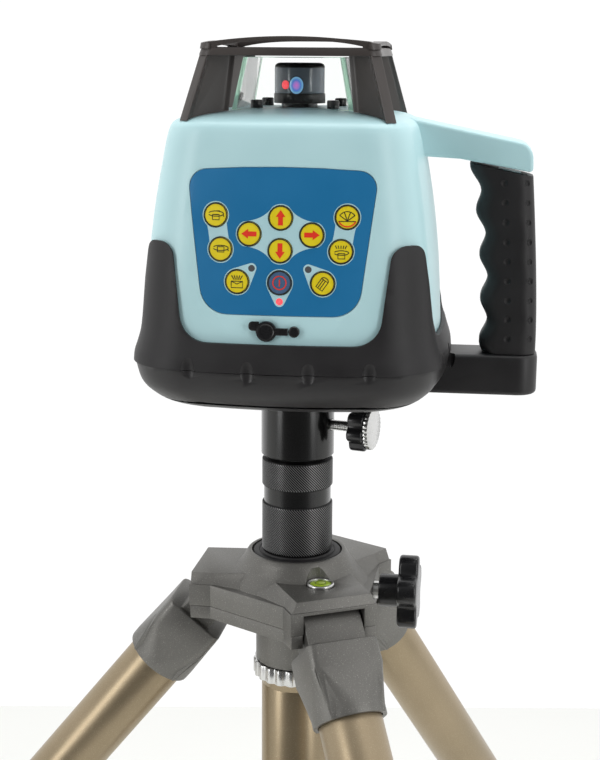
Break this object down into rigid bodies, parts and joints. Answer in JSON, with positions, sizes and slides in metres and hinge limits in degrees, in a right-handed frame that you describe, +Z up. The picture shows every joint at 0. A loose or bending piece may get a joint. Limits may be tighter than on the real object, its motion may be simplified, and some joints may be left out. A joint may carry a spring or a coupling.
{
  "type": "laser level on tripod",
  "caption": "Self-levelling rotary laser level with a keypad, side handle and glazed beam lantern, clamped to the rising mast of a folding three-legged stand.",
  "frame": {"origin": "point on the floor under the mast axis", "axes": "+Z up along the mast; the laser keypad faces -Y and its handle is on the +X side"},
  "size_m": [0.6871, 0.7723, 0.7968],
  "materials": {
    "casting_grey": "speckled dark grey metallic powder paint",
    "champagne_tube": "satin champagne anodised aluminium",
    "bright_metal": "bright plated steel",
    "rubber_black": "matt black rubber",
    "plastic_black": "black moulded plastic",
    "black_metal": "black anodised, semi-gloss",
    "level_green": "clear green level vial",
    "aqua_shell": "pale aqua moulded plastic, semi-gloss",
    "label_blue": "satin blue printed membrane",
    "key_yellow": "yellow printed membrane key",
    "key_grey": "blue-grey printed membrane key",
    "crown_plastic": "satin dark grey plastic",
    "glass_pane": "clear glass, green at the edges",
    "brass_insert": "turned brass",
    "board_green": "green circuit board"
  },
  "bodies": {
    "shoulder": {"shoulder_top": "casting_grey", "shoulder_base": "casting_grey", "mast_collar": "rubber_black", "column_tube": "champagne_tube", "column_end_cap": "plastic_black", "level_ring": "bright_metal", "level_vial": "level_green", "hinge_pin_1": "bright_metal", "hinge_pin_2": "bright_metal", "hinge_pin_3": "bright_metal"},
    "ring_nut": {"column_ring_nut": "bright_metal"},
    "mast_lock": {"mast_lock_knob": "plastic_black", "mast_lock_stud": "bright_metal"},
    "leg_1": {"knuckle_1": "casting_grey", "upper_tube_1": "champagne_tube"},
    "leg_lock_1": {"lock_collar_1": "plastic_black"},
    "leg_extension_1": {"lower_tube_1": "champagne_tube", "foot_1": "rubber_black"},
    "leg_2": {"knuckle_2": "casting_grey", "upper_tube_2": "champagne_tube"},
    "leg_lock_2": {"lock_collar_2": "plastic_black"},
    "leg_extension_2": {"lower_tube_2": "champagne_tube", "foot_2": "rubber_black"},
    "leg_3": {"knuckle_3": "casting_grey", "upper_tube_3": "champagne_tube"},
    "leg_lock_3": {"lock_collar_3": "plastic_black"},
    "leg_extension_3": {"lower_tube_3": "champagne_tube", "foot_3": "rubber_black"},
    "mast": {"knurled_mast": "black_metal"},
    "laser": {"clamp_sleeve": "black_metal", "laser_stud": "bright_metal", "thread_insert": "brass_insert", "base_tray": "plastic_black", "boot": "rubber_black", "housing": "aqua_shell", "keypad_panel": "label_blue", "charge_socket": "plastic_black", "crown": "crown_plastic", "lantern_glass": "glass_pane", "handle_core": "aqua_shell", "handle_grip": "rubber_black", "battery_pack": "plastic_black", "main_board": "board_green"},
    "clamp": {"clamp_screw": "bright_metal", "clamp_knob": "plastic_black"},
    "port_cover": {"port_plug": "rubber_black"},
    "key_up": {"key_up": "key_yellow"},
    "key_down": {"key_down": "key_yellow"},
    "key_left": {"key_left": "key_yellow"},
    "key_right": {"key_right": "key_yellow"},
    "key_spin": {"key_spin": "key_yellow"},
    "key_speed": {"key_speed": "key_yellow"},
    "key_tilt": {"key_tilt": "key_yellow"},
    "key_scan": {"key_scan": "key_yellow"},
    "key_alarm": {"key_alarm": "key_yellow"},
    "key_manual": {"key_manual": "key_yellow"},
    "key_power": {"key_power": "key_grey"},
    "gimbal": {"gimbal_ring": "bright_metal"},
    "optics": {"optics_tube": "black_metal"},
    "rotor": {"rotor_head": "black_metal"}
  },
  "joints": [
    {"name": "leg_1_fold", "type": "hinge", "parent": "shoulder", "child": "leg_1", "pos_m": [0.02207, -0.0415, 0.48514], "axis": [0.8829, 0.4695, 0], "range_deg": [0, 39]},
    {"name": "leg_1_extend", "type": "slide", "parent": "leg_1", "child": "leg_extension_1", "axis": [0.2954, -0.5557, -0.7771], "range_m": [0, 0.24]},
    {"name": "leg_1_twist_lock", "type": "hinge", "parent": "leg_1", "child": "leg_lock_1", "pos_m": [0.12606, -0.23709, 0.21159], "axis": [0.2954, -0.5557, -0.7771], "range_deg": [0, 120]},
    {"name": "leg_2_fold", "type": "hinge", "parent": "shoulder", "child": "leg_2", "pos_m": [0.02491, 0.03986, 0.48514], "axis": [-0.848, 0.5299, 0], "range_deg": [0, 39]},
    {"name": "leg_2_extend", "type": "slide", "parent": "leg_2", "child": "leg_extension_2", "axis": [0.3335, 0.5337, -0.7771], "range_m": [0, 0.24]},
    {"name": "leg_2_twist_lock", "type": "hinge", "parent": "leg_2", "child": "leg_lock_2", "pos_m": [0.14229, 0.22772, 0.21159], "axis": [0.3335, 0.5337, -0.7771], "range_deg": [0, 120]},
    {"name": "leg_3_fold", "type": "hinge", "parent": "shoulder", "child": "leg_3", "pos_m": [-0.04697, 0.00164, 0.48514], "axis": [-0.0349, -0.9994, 0], "range_deg": [0, 39]},
    {"name": "leg_3_extend", "type": "slide", "parent": "leg_3", "child": "leg_extension_3", "axis": [-0.6289, 0.022, -0.7771], "range_m": [0, 0.24]},
    {"name": "leg_3_twist_lock", "type": "hinge", "parent": "leg_3", "child": "leg_lock_3", "pos_m": [-0.26836, 0.00937, 0.21159], "axis": [-0.6289, 0.022, -0.7771], "range_deg": [0, 120]},
    {"name": "mast_lift", "type": "slide", "parent": "shoulder", "child": "mast", "axis": [0, 0, 1], "range_m": [0, 0.18]},
    {"name": "mast_lock_turn", "type": "hinge", "parent": "shoulder", "child": "mast_lock", "pos_m": [0.05996, -0.00209, 0.49214], "axis": [0.9994, -0.0349, 0], "continuous": true},
    {"name": "ring_nut_turn", "type": "hinge", "parent": "shoulder", "child": "ring_nut", "pos_m": [0, 0, 0.44394], "axis": [0, 0, 1], "continuous": true},
    {"name": "laser_turn", "type": "hinge", "parent": "mast", "child": "laser", "pos_m": [0, 0, 0.58854], "axis": [0, 0, 1], "continuous": true},
    {"name": "clamp_turn", "type": "hinge", "parent": "laser", "child": "clamp", "pos_m": [0.03767, -0.01009, 0.58814], "axis": [0.9659, -0.2588, 0], "continuous": true},
    {"name": "key_up_press", "type": "slide", "parent": "laser", "child": "key_up", "axis": [0, 0.991, -0.1338], "range_m": [0, 0.0007], "stiffness_N_per_m": 600},
    {"name": "key_down_press", "type": "slide", "parent": "laser", "child": "key_down", "axis": [0, 0.9959, -0.0901], "range_m": [0, 0.0007], "stiffness_N_per_m": 600},
    {"name": "key_left_press", "type": "slide", "parent": "laser", "child": "key_left", "axis": [0.0514, 0.9897, -0.1338], "range_m": [0, 0.0007], "stiffness_N_per_m": 600},
    {"name": "key_right_press", "type": "slide", "parent": "laser", "child": "key_right", "axis": [-0.0514, 0.9897, -0.1338], "range_m": [0, 0.0007], "stiffness_N_per_m": 600},
    {"name": "key_spin_press", "type": "slide", "parent": "laser", "child": "key_spin", "axis": [0.1091, 0.985, -0.1338], "range_m": [0, 0.0007], "stiffness_N_per_m": 600},
    {"name": "key_speed_press", "type": "slide", "parent": "laser", "child": "key_speed", "axis": [0.0979, 0.9911, -0.0901], "range_m": [0, 0.0007], "stiffness_N_per_m": 600},
    {"name": "key_tilt_press", "type": "slide", "parent": "laser", "child": "key_tilt", "axis": [-0.1091, 0.985, -0.1338], "range_m": [0, 0.0007], "stiffness_N_per_m": 600},
    {"name": "key_scan_press", "type": "slide", "parent": "laser", "child": "key_scan", "axis": [-0.0979, 0.9911, -0.0901], "range_m": [0, 0.0007], "stiffness_N_per_m": 600},
    {"name": "key_alarm_press", "type": "slide", "parent": "laser", "child": "key_alarm", "axis": [0.0676, 0.9936, -0.0901], "range_m": [0, 0.0007], "stiffness_N_per_m": 600},
    {"name": "key_manual_press", "type": "slide", "parent": "laser", "child": "key_manual", "axis": [-0.0676, 0.9936, -0.0901], "range_m": [0, 0.0007], "stiffness_N_per_m": 600},
    {"name": "key_power_press", "type": "slide", "parent": "laser", "child": "key_power", "axis": [0, 0.9959, -0.0901], "range_m": [0, 0.0007], "stiffness_N_per_m": 600},
    {"name": "port_cover_swing", "type": "hinge", "parent": "laser", "child": "port_cover", "pos_m": [0.0047, -0.07928, 0.65304], "axis": [0, 0, 1], "range_deg": [0, 90], "stiffness_Nm_per_rad": 0.002},
    {"name": "gimbal_tilt", "type": "hinge", "parent": "laser", "child": "gimbal", "pos_m": [0, 0, 0.74684], "axis": [1, 0, 0], "range_deg": [-5, 5]},
    {"name": "optics_tilt", "type": "hinge", "parent": "gimbal", "child": "optics", "pos_m": [0, 0, 0.74684], "axis": [0, 1, 0], "range_deg": [-5, 5]},
    {"name": "rotor_spin", "type": "hinge", "parent": "optics", "child": "rotor", "pos_m": [0, 0, 0.77284], "axis": [0, 0, 1], "continuous": true}
  ]
}
